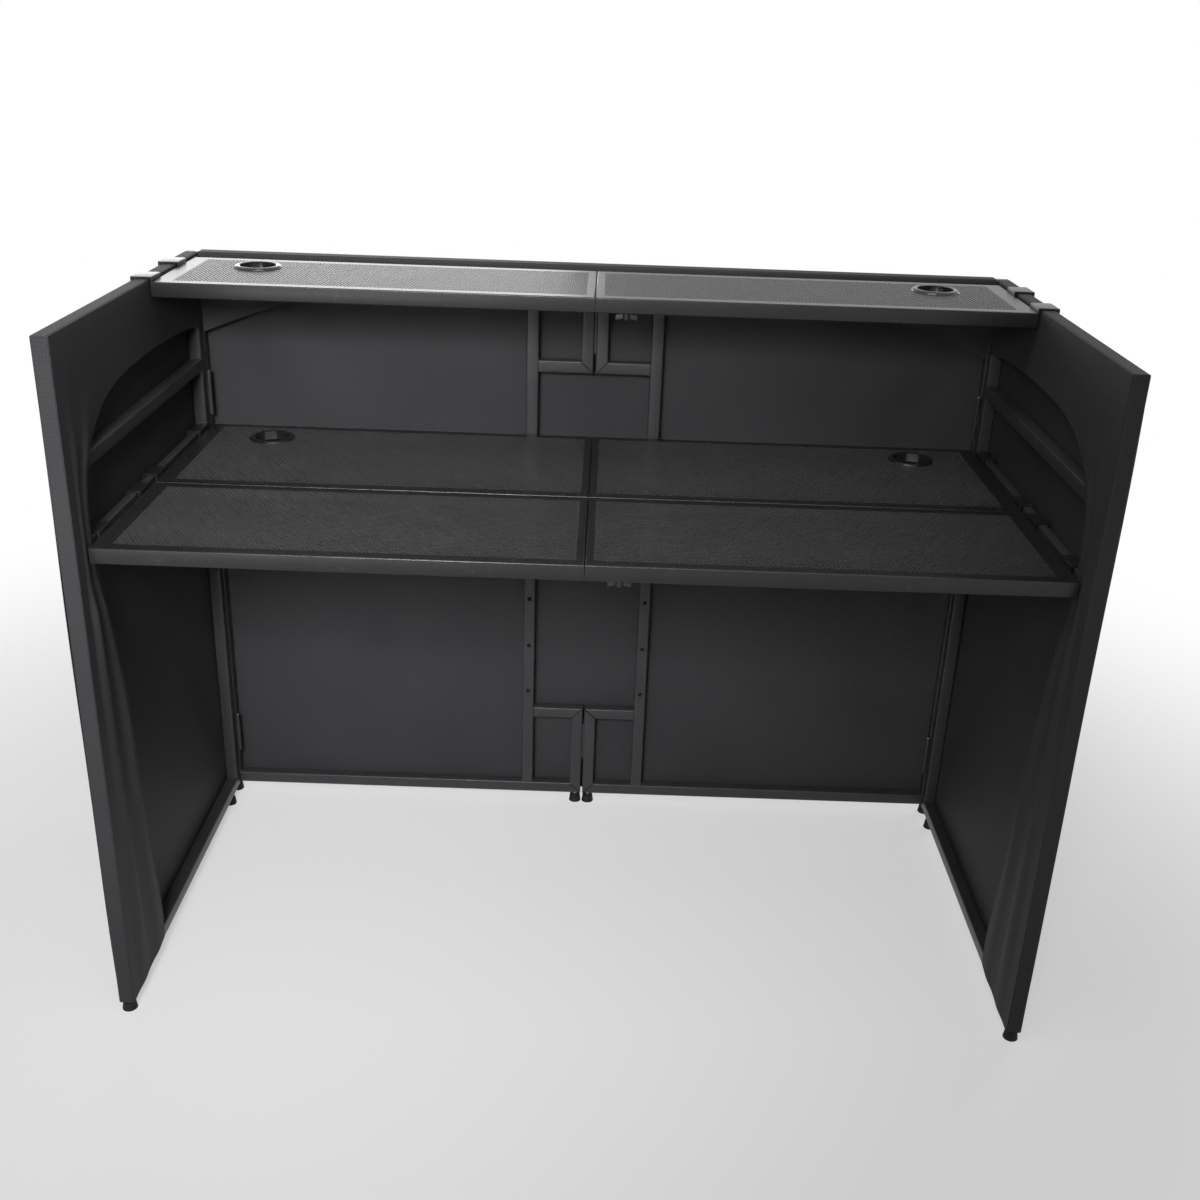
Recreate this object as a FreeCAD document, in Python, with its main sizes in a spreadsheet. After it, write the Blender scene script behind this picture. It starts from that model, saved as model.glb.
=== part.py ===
import FreeCAD, Part
import os
import re
import Sketcher

doc = FreeCAD.newDocument("dj_booth")
axis_x = FreeCAD.Vector(1, 0, 0)
axis_y = FreeCAD.Vector(0, 1, 0)
axis_z = FreeCAD.Vector(0, 0, 1)
upright = FreeCAD.Rotation()
along_y = FreeCAD.Rotation(axis_x, 90)

# Driving dimensions in millimetres. The facade's audience face is the plane Y = 0, the user stands at -Y.
sizes = {
    "frame_width": 1450,
    "frame_depth": 700,
    "frame_top": 1095,
    "foot_height": 22,
    "foot_radius": 12,
    "foot_taper": 2,
    "foot_pad": 14,
    "foot_stud_radius": 4,
    "wing_foot_inset": 44,
    "tube": 22,
    "tube_wall": 1.5,
    "hinge_gap": 4,
    "hinge_length": 80,
    "hinge_low": 100,
    "corner_hinge_drop": 290,
    "centre_hinge_drop": 155,
    "knuckle_radius": 3.5,
    "knuckle_clearance": 0.3,
    "leaf_width": 16,
    "pin_radius": 1.75,
    "pin_clearance": 0.05,
    "pin_head": 1.5,
    "post_spacing": 224,
    "bar_low_top": 218,
    "bar_high_height": 192,
    "hole_diameter": 8.5,
    "hole_pitch": 100,
    "hole_first": 255,
    "cut_margin": 1,
    "upper_rail_drop": 183,
    "table_rail_thickness": 14,
    "table_drop": 305,
    "deck_height": 24,
    "deck_sheet": 1.5,
    "deck_flange": 24,
    "deck_bend": 1.2,
    "mesh_border": 18,
    "mesh_end_border": 27,
    "mesh_seam_border": 12,
    "mesh_bar": 18,
    "mesh_columns": 8,
    "top_mesh_rows": 2,
    "rear_mesh_rows": 4,
    "front_mesh_rows": 4,
    "grommet_seat": 6,
    "seam_gap": 1,
    "top_deck_front": 296,
    "top_deck_depth": 240,
    "front_setback": 32,
    "front_deck_depth": 292,
    "row_gap": 3,
    "rear_deck_rear": 35,
    "hook_thickness": 3,
    "hook_bend": 2,
    "hook_width": 45,
    "hook_rise": 3.8,
    "hook_lip": 18,
    "hook_play": 1.5,
    "hook_seat": 0.3,
    "hook_foot": 2,
    "top_hook_front": 5.5,
    "top_hook_rear": 49.5,
    "front_hook_front": 46,
    "front_hook_rear": 21.5,
    "rear_hook_front": 15.5,
    "rear_hook_rear": 32.5,
    "rivet_hole_radius": 2.05,
    "rivet_spacing": 26,
    "grommet_diameter": 80,
    "grommet_rim": 10,
    "grommet_lip": 3,
    "grommet_dome": 2.4,
    "grommet_collar": 12,
    "grommet_wall": 3,
    "grommet_fit": 0.3,
    "grommet_from_end": 128,
    "grommet_from_rear": 76,
    "tongue_left": 60,
    "tongue_right": 92,
    "tongue_thickness": 6,
    "tongue_side_gap": 2.5,
    "front_bolt_from_seam": 50,
    "rear_bolt_from_seam": 74,
    "bolt_radius": 4,
    "bolt_clearance": 0.5,
    "bolt_thread_clearance": 0.05,
    "bolt_seat": 0.2,
    "bolt_tip": 2,
    "hub_radius": 6.5,
    "hub_height": 11,
    "hub_taper": 1,
    "wing_span": 34,
    "wing_height": 12,
    "wing_root": 2,
    "wing_slope": 2,
    "wing_thickness": 3.4,
    "wing_drop": 4,
    "cloth": 1.2,
    "cloth_gap": 0.3,
    "cloth_bottom": 19,
    "skirt_drop": 124,
    "skirt_drop_front": 136,
    "skirt_arch": 16,
    "flap_width": 88,
    "flap_width_low": 120,
    "flap_width_knee": 66,
    "flap_width_deck": 62,
    "flap_width_lift": 75,
    "flap_knee": 380,
    "flap_fold": 5,
    "flap_fold_deck": 2.2,
    "flap_fold_top": 1.5,
    "flap_deck_low": 26,
    "flap_deck_high": 90,
    "corner_drop": 140,
    "centre_drop": 34,
    "corner_reach": 372,
    "corner_arch": 22,
}

sheet = doc.addObject("Spreadsheet::Sheet", "Sizes")
for row, (alias, value) in enumerate(sizes.items(), 1):
    sheet.set("A%d" % row, alias)
    sheet.set("B%d" % row, str(value))
    sheet.setAlias("B%d" % row, alias)
doc.recompute()

# Places worked out from the driving dimensions, used as text in the formulas below.
half_width = "(frame_width / 2)"
inner_face = "(frame_width / 2 - tube)"
half_gap = "(hinge_gap / 2)"
wing_rear = "(tube + hinge_gap)"
wing_run = "(frame_depth - tube - hinge_gap)"
hinge_offset = "(knuckle_radius + knuckle_clearance)"
scrim_front_face = "(2 * knuckle_radius + knuckle_clearance + cloth_gap)"
cover_top = "(frame_top + cloth_gap)"
skirt_face = "(frame_width / 2 - tube - cloth_gap)"
deck_end = "(frame_width / 2 - tube - cloth_gap - cloth - hook_play - hook_thickness)"
deck_length = "(%s - seam_gap / 2)" % deck_end
top_deck_z = "(frame_top + cloth_gap + cloth + hook_seat - hook_rise - deck_height)"
table_top = "(frame_top - table_drop)"
table_z = "(frame_top - table_drop - deck_height)"
table_rail_top = "(%s + hook_rise - hook_seat)" % table_top
high_bar = "(frame_top - bar_high_height)"
middle_shift = "(frame_depth + cloth_gap - %s) / 2" % scrim_front_face


def formula(text):
    def prefix(word):
        return "Sizes." + word.group() if word.group() in sizes else word.group()
    return re.sub(r"[a-z_]+", prefix, str(text))


def bind(thing, **formulas):
    for name, text in formulas.items():
        thing.setExpression(name, formula(text))


def place(thing, x, y, z, turn=upright):
    thing.Placement = FreeCAD.Placement(FreeCAD.Vector(), turn)
    for axis, text in zip("xyz", (x, y, z)):
        thing.setExpression("Placement.Base." + axis, formula(text))


def box(name, x, y, z, length, width, height):
    block = doc.addObject("Part::Box", name)
    bind(block, Length=length, Width=width, Height=height)
    place(block, x, y, z)
    return block


def cylinder(name, x, y, z, radius, height, turn=upright):
    rod = doc.addObject("Part::Cylinder", name)
    bind(rod, Radius=radius, Height=height)
    place(rod, x, y, z, turn)
    return rod


def fuse(name, pieces):
    whole = doc.addObject("Part::MultiFuse", name)
    whole.Shapes = pieces
    return whole


def cut(name, base, tools):
    rest = doc.addObject("Part::Cut", name)
    rest.Base = base
    rest.Tool = tools[0] if len(tools) == 1 else fuse(name + "_tools", tools)
    return rest


def group(name, pieces):
    whole = doc.addObject("Part::Compound", name)
    whole.Links = pieces
    return whole


def mirrored(name, piece):
    twin = doc.addObject("Part::Mirroring", name)
    twin.Source = piece
    twin.Normal = axis_x
    return twin


nodes = []


# Each named sub-part is set so that the origin is on the floor under the middle of the whole booth.
def node(name, piece):
    piece.Label = name + "_piece"
    part = group(name, [piece])
    part.Label = name
    place(part, "0", middle_shift, "0")
    nodes.append(part)
    return piece


# A square tube lies along its local X, with its long side at local Y = 0. A mitred end is cut at 45 degrees.
def wedge(name, inset, run, cut_start, cut_end, thickness):
    block = doc.addObject("Part::Wedge", name)
    near = inset
    far = "tube - " + inset
    back = "%s - %s" % (thickness, inset)
    bind(block, Ymin=near, Ymax=far, Zmin=inset, Z2min=inset, Zmax=back, Z2max=back,
         Xmin=near if cut_start else "0", X2min=far if cut_start else "0",
         Xmax="%s - (%s)" % (run, near) if cut_end else run,
         X2max="%s - (%s)" % (run, far) if cut_end else run)
    return block


def square_tube(name, x, z, run, turn, cut_start, cut_end, thickness="tube"):
    skin = wedge(name + "_skin", "0", run, cut_start, cut_end, thickness)
    bore = wedge(name + "_bore", "tube_wall", run, cut_start, cut_end, thickness)
    piece = cut(name, skin, [bore])
    place(piece, x, "0", z, FreeCAD.Rotation(axis_y, turn).multiply(along_y))
    return piece


# Left half of the facade: a mitred outer frame, a drilled post, and small mitred frames at the fold.
def facade_frame():
    frame_height = "frame_top - foot_height"
    rail_run = "%s - %s" % (half_width, half_gap)
    bar_run = "post_spacing / 2 - tube / 2 - %s" % half_gap
    centre = "-%s" % half_gap
    post = square_tube("post_blank", "-(post_spacing + tube) / 2", "frame_top - tube",
                       frame_height + " - 2 * tube", 90, False, False)
    holes = []
    for row in range(6):
        height = "hole_first + %d * hole_pitch" % row
        holes.append(cylinder("post_hole_%d" % row, "-post_spacing / 2", "cut_margin", height,
                              "hole_diameter / 2", "tube + 2 * cut_margin", along_y))
    return group("facade_half", [
        square_tube("bottom_rail", "-" + half_width, "foot_height", rail_run, 0, True, True),
        square_tube("top_rail", centre, "frame_top", rail_run, 180, True, True),
        square_tube("outer_stile", "-" + half_width, "frame_top", frame_height, 90, True, True),
        cut("post", post, holes),
        square_tube("low_stile", centre, "foot_height", "bar_low_top - foot_height", -90, True, True),
        square_tube("low_bar", centre, "bar_low_top", bar_run, 180, True, False),
        square_tube("high_stile", centre, high_bar, "bar_high_height", -90, True, True),
        square_tube("high_bar", "-(post_spacing - tube) / 2", high_bar, bar_run, 0, False, True),
    ])


# Left wing: a mitred frame with an upper rail and a thinner rail that the table hooks over.
def wing_frame():
    frame_height = "frame_top - foot_height"
    rail_run = wing_run + " - 2 * tube"
    frame = group("wing_half", [
        square_tube("wing_bottom_rail", "0", "foot_height", wing_run, 0, True, True),
        square_tube("wing_top_rail", wing_run, "frame_top", wing_run, 180, True, True),
        square_tube("wing_rear_stile", "0", "frame_top", frame_height, 90, True, True),
        square_tube("wing_front_stile", wing_run, "foot_height", frame_height, -90, True, True),
        square_tube("wing_upper_rail", "tube", "frame_top - upper_rail_drop - tube", rail_run, 0,
                    False, False),
        square_tube("wing_table_rail", "tube", table_rail_top + " - tube", rail_run, 0, False, False,
                    "table_rail_thickness"),
    ])
    place(frame, "-" + inner_face, "-" + wing_rear, "0", FreeCAD.Rotation(axis_z, -90))
    return frame


facade_left = node("facade_frame_left", facade_frame())
node("facade_frame_right", mirrored("facade_half_right", facade_left))
wing_left = node("wing_frame_left", wing_frame())
node("wing_frame_right", mirrored("wing_half_right", wing_left))


# A butt hinge with three knuckles. The pin is on the local Z axis and the leaves reach towards local -X.
def hinge_leaf(name, side, knuckles):
    third = "(hinge_length / 3)"
    y = "0" if side > 0 else "-" + half_gap
    pieces = [box(name + "_plate", "-%s - leaf_width" % hinge_offset, y, "0",
                  "leaf_width", half_gap, "hinge_length")]
    for k in knuckles:
        low = "%s * %d + %s" % (third, k, "knuckle_clearance" if k else "0")
        length = "%s - %s" % (third, "knuckle_clearance" if k else "0")
        pieces.append(box("%s_tab_%d" % (name, k), "-" + hinge_offset, y, low,
                          hinge_offset, half_gap, length))
        pieces.append(cylinder("%s_knuckle_%d" % (name, k), "0", "0", low, "knuckle_radius", length))
    bore = cylinder(name + "_bore", "0", "0", "-cut_margin", "pin_radius + pin_clearance",
                    "hinge_length + 2 * cut_margin")
    return cut(name, fuse(name + "_blank", pieces), [bore])


def hinge_pin(name):
    rod = cylinder(name + "_rod", "0", "0", "0", "pin_radius", "hinge_length")
    head = cylinder(name + "_head", "0", "0", "hinge_length", "knuckle_radius", "pin_head")
    return fuse(name, [rod, head])


def hinge_set(name, x, y, turn):
    makers = {
        "fixed": lambda piece_name: hinge_leaf(piece_name, 1, (0, 2)),
        "swing": lambda piece_name: hinge_leaf(piece_name, -1, (1,)),
        "pin": hinge_pin,
    }
    made = {}
    for part, maker in makers.items():
        made[part] = []
        for level, height in (("low", "hinge_low"), ("high", "frame_top - %s_hinge_drop" % name)):
            piece = maker("%s_%s_%s" % (name, part, level))
            place(piece, x, y, height, FreeCAD.Rotation(axis_z, turn))
            made[part].append(piece)
    return made


def pair_across(name, pieces):
    left = group(name + "_at_left", pieces)
    return group(name, [left, mirrored(name + "_at_right", left)])


centre_hinge = hinge_set("centre", "0", hinge_offset, 90)
corner_hinge = hinge_set("corner", "-%s + %s" % (inner_face, hinge_offset), "-(tube + %s)" % half_gap, 0)
node("centre_hinge_leaves_left", group("centre_leaves_left", centre_hinge["fixed"]))
node("centre_hinge_leaves_right", group("centre_leaves_right", centre_hinge["swing"]))
node("centre_hinge_pins", group("centre_pins", centre_hinge["pin"]))
node("corner_hinge_facade_leaves", pair_across("facade_leaves", corner_hinge["fixed"]))
node("corner_hinge_wing_leaves", pair_across("wing_leaves", corner_hinge["swing"]))
node("corner_hinge_pins", pair_across("corner_pins", corner_hinge["pin"]))


# Screw-in feet: a tapered rubber pad on a steel stud that meets the underside of the rail.
def foot_pad(name, x, y):
    pad_cone = doc.addObject("Part::Cone", name + "_pad")
    bind(pad_cone, Radius1="foot_radius", Radius2="foot_radius - foot_taper", Height="foot_pad")
    place(pad_cone, x, y, "0")
    return pad_cone


def foot_stud(name, x, y):
    return cylinder(name + "_stud", x, y, "foot_pad", "foot_stud_radius", "foot_height - foot_pad")


stile_line = "(-%s + tube / 2)" % half_width
foot_places = {
    "outer_foot": (stile_line, "-tube / 2"),
    "centre_foot": ("-(%s + tube / 2)" % half_gap, "-tube / 2"),
    "wing_rear_foot": (stile_line, "-(%s + wing_foot_inset)" % wing_rear),
    "wing_front_foot": (stile_line, "-(frame_depth - tube / 2)"),
}
foot_pads = [foot_pad(name, x, y) for name, (x, y) in foot_places.items()]
foot_studs = [foot_stud(name, x, y) for name, (x, y) in foot_places.items()]
node("rubber_feet", pair_across("pads", foot_pads))
node("foot_studs", pair_across("studs", foot_studs))


# Sketches are drawn from corner points given as formulas. A third entry is the arc's rise on the next edge.
def plane_of(body, role):
    return [plane for plane in body.Origin.OriginFeatures if plane.Role == role][0]


def number(text):
    return float(sheet.evalExpression(formula(text)))


def outline(body, name, role, points, offset="0"):
    sketch = body.newObject("Sketcher::SketchObject", name)
    sketch.AttachmentSupport = (plane_of(body, role), [""])
    sketch.MapMode = "FlatFace"
    sketch.setExpression("AttachmentOffset.Base.z", formula(offset))
    places = [FreeCAD.Vector(number(point[0]), number(point[1]), 0) for point in points]
    count = len(points)
    ends = []
    for i, point in enumerate(points):
        first, last = places[i], places[(i + 1) % count]
        if len(point) == 2:
            sketch.addGeometry(Part.LineSegment(first, last), False)
            ends.append((1, 2))
            continue
        crown = (first + last) / 2 + axis_z.cross(last - first).normalize() * number(point[2])
        clockwise = number(point[2]) > 0
        sketch.addGeometry(Part.Arc(last, crown, first) if clockwise else Part.Arc(first, crown, last), False)
        ends.append((2, 1) if clockwise else (1, 2))
    for i in range(count):
        after = (i + 1) % count
        sketch.addConstraint(Sketcher.Constraint("Coincident", i, ends[i][1], after, ends[after][0]))
    for i, point in enumerate(points):
        for kind, text, value in (("DistanceX", point[0], places[i].x), ("DistanceY", point[1], places[i].y)):
            index = sketch.addConstraint(Sketcher.Constraint(kind, -1, 1, i, ends[i][0], value))
            if text != "0":
                sketch.setExpression("Constraints[%d]" % index, formula(text))
        if len(point) == 3:
            x, y = points[(i + 1) % count][:2]
            chord = "(((%s) - (%s)) ^ 2 + ((%s) - (%s)) ^ 2)" % (x, point[0], y, point[1])
            radius = "abs((%s / 4 + (%s) ^ 2) / (2 * (%s)))" % (chord, point[2], point[2])
            index = sketch.addConstraint(Sketcher.Constraint("Radius", i, sketch.Geometry[i].Radius))
            sketch.setExpression("Constraints[%d]" % index, formula(radius))
    return sketch


def rectangle(body, name, role, x0, y0, x1, y1, offset="0"):
    return outline(body, name, role, [(x0, y0), (x1, y0), (x1, y1), (x0, y1)], offset)


def pad(body, name, sketch, length):
    feature = body.newObject("PartDesign::Pad", name)
    feature.Profile = sketch
    bind(feature, Length=length)
    return feature


def pocket(body, name, sketch, length, up=False):
    feature = body.newObject("PartDesign::Pocket", name)
    feature.Profile = sketch
    feature.Reversed = up
    bind(feature, Length=length)
    return feature


def new_body(name):
    return doc.addObject("PartDesign::Body", name)


# The top sheet has a grid of openings inside plain borders, and a plain patch under the grommet.
def top_sheet(name, depth, rows, outer_at_end, grommet_x, grommet_y):
    body = new_body(name)
    level = "deck_height - deck_sheet"
    plan = rectangle(body, name + "_plan", "XY_Plane", "0", "0", deck_length, depth, level)
    pad(body, name + "_blank", plan, "deck_sheet")
    field_x = "(%s - mesh_end_border - mesh_seam_border)" % deck_length
    field_y = "(%s - 2 * mesh_border)" % depth
    open_x = "((%s + mesh_bar) / mesh_columns - mesh_bar)" % field_x
    open_y = "((%s + mesh_bar) / %s - mesh_bar)" % (field_y, rows)
    left = "mesh_seam_border" if outer_at_end else "mesh_end_border"
    first = rectangle(body, name + "_opening_plan", "XY_Plane", left, "mesh_border",
                      "%s + %s" % (left, open_x), "mesh_border + " + open_y, level)
    opening = pocket(body, name + "_opening", first, "deck_sheet", True)
    mesh = body.newObject("PartDesign::LinearPattern", name + "_mesh")
    mesh.Originals = [opening]
    mesh.Direction = (first, ["H_Axis"])
    mesh.Direction2 = (first, ["V_Axis"])
    bind(mesh, Length="%s - %s" % (field_x, open_x), Occurrences="mesh_columns",
         Length2="%s - %s" % (field_y, open_y), Occurrences2=rows)
    body.Tip = mesh
    if grommet_x:
        reach = "(grommet_diameter / 2 + grommet_seat)"
        patch = rectangle(body, name + "_patch_plan", "XY_Plane", "%s - %s" % (grommet_x, reach),
                          "%s - %s" % (grommet_y, reach), "%s + %s" % (grommet_x, reach),
                          "%s + %s" % (grommet_y, reach), level)
        pad(body, name + "_patch", patch, "deck_sheet")
    return body


# The long edges are folded angles: a web under the top sheet and a flange turned in at its foot.
def long_angle(name, depth, at_rear):
    body = new_body(name)
    web_top = "deck_height - deck_sheet"
    bend = "deck_bend * (1 - sqrt(0.5))"
    points = [
        ("deck_bend", "0"), ("deck_flange", "0"), ("deck_flange", "deck_sheet"), ("deck_sheet", "deck_sheet"),
        ("deck_sheet", web_top), ("0", web_top), ("0", "deck_bend", "-1 * " + bend),
    ]
    if at_rear:
        points = [("%s - %s" % (depth, point[0]), point[1]) for point in points]
        points[-1] += (bend,)
    pad(body, name + "_fold", outline(body, name + "_profile", "YZ_Plane", points), deck_length)
    return body


# An end angle stands between the long ones. At the seam its web stops short, so that the tongues pass.
def end_angle(name, depth, at_end, is_seam):
    body = new_body(name)
    inset = "deck_flange" if is_seam else "deck_sheet"
    web_x = ("%s - deck_sheet" % deck_length, deck_length) if at_end else ("0", "deck_sheet")
    foot_x = ("%s - deck_flange" % deck_length, deck_length) if at_end else ("0", "deck_flange")
    foot = rectangle(body, name + "_foot_plan", "XY_Plane", foot_x[0], "deck_flange", foot_x[1],
                     "%s - deck_flange" % depth)
    pad(body, name + "_foot", foot, "deck_sheet")
    web = rectangle(body, name + "_web_plan", "XY_Plane", web_x[0], inset, web_x[1],
                    "%s - %s" % (depth, inset), "deck_sheet")
    pad(body, name + "_web", web, "deck_height - 2 * deck_sheet")
    return body


# A deck half is a perforated sheet welded on four angles.
def deck_half(name, place_x, front, depth, deck_z, rows, outer_at_end, grommet_x, grommet_y, cuts):
    made = {
        "sheet": top_sheet(name + "_sheet", depth, rows, outer_at_end, grommet_x, grommet_y),
        "front_angle": long_angle(name + "_front_angle", depth, False),
        "rear_angle": long_angle(name + "_rear_angle", depth, True),
        "outer_angle": end_angle(name + "_outer_angle", depth, outer_at_end, False),
        "seam_angle": end_angle(name + "_seam_angle", depth, not outer_at_end, True),
    }
    for part, body in made.items():
        place(body, place_x, "-" + front, deck_z)
        if part in cuts:
            made[part] = cut("%s_%s_cut" % (name, part), body, [cuts[part]])
    return group(name + "_set", list(made.values()))


# A cable grommet is turned: a domed rim that stands on the deck and a collar down through it.
def grommet(name, x, y, deck_top):
    body = new_body(name)
    rim = "(grommet_diameter / 2)"
    bore = "(grommet_diameter / 2 - grommet_rim)"
    collar = bore + " + grommet_wall"
    profile = [
        (bore, "-grommet_collar"), (collar, "-grommet_collar"), (collar, "0"), (rim, "0", "-grommet_dome"),
        (bore, "grommet_lip"),
    ]
    turned = body.newObject("PartDesign::Revolution", name + "_turned")
    sketch = outline(body, name + "_half_section", "XZ_Plane", profile)
    turned.Profile = sketch
    turned.ReferenceAxis = (sketch, ["V_Axis"])
    turned.Angle = 360
    place(body, x, y, deck_top)
    return body


# A hook is a bent strap: a leg on the end of the deck, a bridge over the rail and a lip behind it.
def hook(name, rail_far, y, deck_z):
    body = new_body(name)
    reach = "(%s - %s + hook_play)" % (rail_far, deck_end)
    base = "(deck_height + hook_rise)"
    end = "(%s + hook_thickness)" % reach
    crest = "(%s + hook_thickness)" % base
    sag = "hook_bend * (1 - sqrt(0.5))"
    profile = [
        ("0", "hook_foot"), ("hook_thickness", "hook_foot"), ("hook_thickness", base), (reach, base),
        (reach, base + " - hook_lip"), (end, base + " - hook_lip"),
        (end, crest + " - hook_bend", sag + " * -1"), (end + " - hook_bend", crest),
        ("hook_bend", crest, sag + " * -1"), ("0", crest + " - hook_bend"),
    ]
    pad(body, name + "_strap", outline(body, name + "_profile", "XZ_Plane", profile), "hook_width")
    place(body, deck_end, y + " + hook_width", deck_z)
    return body


# Rivet holes run along X through the leg of the hook and the web of the outer angle.
along_x = FreeCAD.Rotation(axis_y, 90)


def rivet_lines(y):
    return ["%s + hook_width / 2 + %s * rivet_spacing / 2" % (y, side) for side in ("-1", "1")]


def rivet_hole(name, y, deck_z):
    return cylinder(name, "%s - deck_sheet - cut_margin" % deck_end, y, deck_z + " + deck_height / 2",
                    "rivet_hole_radius", "deck_sheet + hook_thickness + 2 * cut_margin", along_x)


# A tongue is a flat bar that lies in the edge channels of both deck halves and takes the wing bolt.
def tongue(name, x, y, deck_z):
    bar_width = "deck_flange - deck_sheet - 2 * tongue_side_gap"
    bar = box(name + "_bar", "-tongue_left", y + " + tongue_side_gap", deck_z + " + deck_sheet",
              "tongue_left + tongue_right", bar_width, "tongue_thickness")
    thread = cylinder(name + "_thread", x, y + " + (deck_flange - deck_sheet) / 2",
                      deck_z + " + deck_sheet - cut_margin", "bolt_radius + bolt_thread_clearance",
                      "tongue_thickness + 2 * cut_margin")
    return cut(name, bar, [thread])


# A wing bolt: a threaded stem and a tapered hub turned in one, with two wings that rise outwards.
def wing_bolt(name, x, y, deck_z):
    body = new_body(name)
    stem_top = "(hub_height + bolt_seat + deck_sheet + tongue_thickness + bolt_tip)"
    profile = [
        ("0", "0"), ("hub_radius - hub_taper", "0"), ("hub_radius", "hub_height"),
        ("bolt_radius", "hub_height"), ("bolt_radius", stem_top), ("0", stem_top),
    ]
    turned = body.newObject("PartDesign::Revolution", name + "_turned")
    sketch = outline(body, name + "_half_section", "XZ_Plane", profile)
    turned.Profile = sketch
    turned.ReferenceAxis = (sketch, ["V_Axis"])
    turned.Angle = 360
    for side in (1, -1):
        tip = "%d * wing_span / 2" % side
        root = "%d * bolt_radius" % side
        wing = outline(body, "%s_wing_plan_%d" % (name, side), "XZ_Plane", [
            (root, "wing_root"), (tip, "hub_height - wing_height"), (tip, "hub_height - wing_drop"),
            (root, "hub_height - wing_drop + wing_slope")])
        blade = pad(body, "%s_wing_%d" % (name, side), wing, "wing_thickness")
        blade.Midplane = True
    place(body, x, y, "%s - hub_height - bolt_seat" % deck_z)
    return body


# One row of decking: two halves, their hooks, the tongues that join them and the wing bolts.
def deck_row(row, front, depth, deck_z, rail_far, hook_insets, with_grommets):
    rear_channel = "(-%s + %s - deck_flange)" % (front, depth)
    front_channel = "(-%s + deck_sheet)" % front
    channels = (("front", front_channel), ("rear", rear_channel))
    bolt_line = " + (deck_flange - deck_sheet) / 2"
    hook_lines = ["(-%s + %s)" % (front, inset) for inset in hook_insets]
    grommet_x = "(%s - grommet_from_end)" % deck_end
    grommet_y = "(-%s + %s - grommet_from_rear)" % (front, depth)
    rivet_places = [y for line in hook_lines for y in rivet_lines(line)]
    rivet_cuts = group(row + "_rivet_cuts", [
        rivet_hole("%s_rivet_hole_%d" % (row, i), y, deck_z) for i, y in enumerate(rivet_places)])
    for side, sign, x in (("left", "-1 * ", "-" + deck_end), ("right", "", "seam_gap / 2")):
        on_right = side == "right"
        cuts = {"outer_angle": rivet_cuts if on_right else mirrored(row + "_rivet_cuts_left", rivet_cuts)}
        if with_grommets:
            cuts["sheet"] = cylinder("%s_grommet_hole_%s" % (row, side), sign + grommet_x, grommet_y,
                                     deck_z + " + deck_height - deck_sheet - cut_margin",
                                     "grommet_diameter / 2 - grommet_rim + grommet_wall + grommet_fit",
                                     "deck_sheet + 2 * cut_margin")
        if on_right:
            for end, channel in channels:
                cuts[end + "_angle"] = cylinder("%s_%s_bolt_hole" % (row, end), end + "_bolt_from_seam",
                                                channel + bolt_line, deck_z + " - cut_margin",
                                                "bolt_radius + bolt_clearance", "deck_sheet + 2 * cut_margin")
        seat_x = "(%s - grommet_from_end)" % deck_length if on_right else "grommet_from_end"
        half = deck_half("%s_deck_half_%s" % (row, side), x, front, depth, deck_z, row + "_mesh_rows",
                         on_right, seat_x if with_grommets else None,
                         "(%s - grommet_from_rear)" % depth, cuts)
        node("%s_deck_%s" % (row, side), half)
    if with_grommets:
        ring = grommet(row + "_grommet", "-1 * " + grommet_x, grommet_y, "(%s + deck_height)" % deck_z)
        node(row + "_grommets", pair_across(row + "_grommet_pair", [ring]))
    hooks = []
    for i, line in enumerate(hook_lines):
        strap = hook("%s_strap_%d" % (row, i), rail_far, line, deck_z)
        hooks.append(cut("%s_hook_%d" % (row, i), strap, [rivet_cuts]))
    node(row + "_hooks", pair_across(row + "_hook_set", hooks))
    tongues = []
    for end, channel in channels:
        bolt_x = end + "_bolt_from_seam"
        tongues.append(tongue("%s_%s_tongue" % (row, end), bolt_x, channel, deck_z))
        bolt = wing_bolt("%s_bolt_%s" % (row, end), bolt_x, channel + bolt_line, deck_z)
        node("%s_wing_bolt_%s" % (row, end), bolt)
    node(row + "_tongues", group(row + "_tongue_set", tongues))


front_deck_front = "(frame_depth - front_setback)"
rear_deck_front = "(%s - front_deck_depth - row_gap)" % front_deck_front
rear_deck_depth = "(%s - rear_deck_rear)" % rear_deck_front
cover_far = "(%s + cloth_gap + cloth)" % half_width
table_rail_far = "(%s + table_rail_thickness)" % inner_face
deck_row("top", "top_deck_front", "top_deck_depth", top_deck_z, cover_far,
         ("top_hook_front", "top_deck_depth - top_hook_rear - hook_width"), True)
deck_row("rear", rear_deck_front, rear_deck_depth, table_z, table_rail_far,
         ("rear_hook_front", rear_deck_depth + " - rear_hook_rear - hook_width"), True)
deck_row("front", front_deck_front, "front_deck_depth", table_z, table_rail_far,
         ("front_hook_front", "front_deck_depth - front_hook_rear - hook_width"), False)


# The cloth cover: a panel on each outer side, bands over the top and front edges, and skirts turned in.
panel_height = "%s - cloth_bottom" % cover_top
node("scrim_front", box("front_panel", "-%s - cloth_gap" % half_width, scrim_front_face, "cloth_bottom",
                        "frame_width + 2 * cloth_gap", "cloth", panel_height))
side_panel = box("side_panel", "-%s - cloth_gap - cloth" % half_width, "-(frame_depth + cloth_gap + cloth)",
                 "cloth_bottom", "cloth", "frame_depth + cloth_gap + 2 * cloth + " + scrim_front_face,
                 panel_height)
node("scrim_left", side_panel)
node("scrim_right", mirrored("side_panel_right", side_panel))

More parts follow.
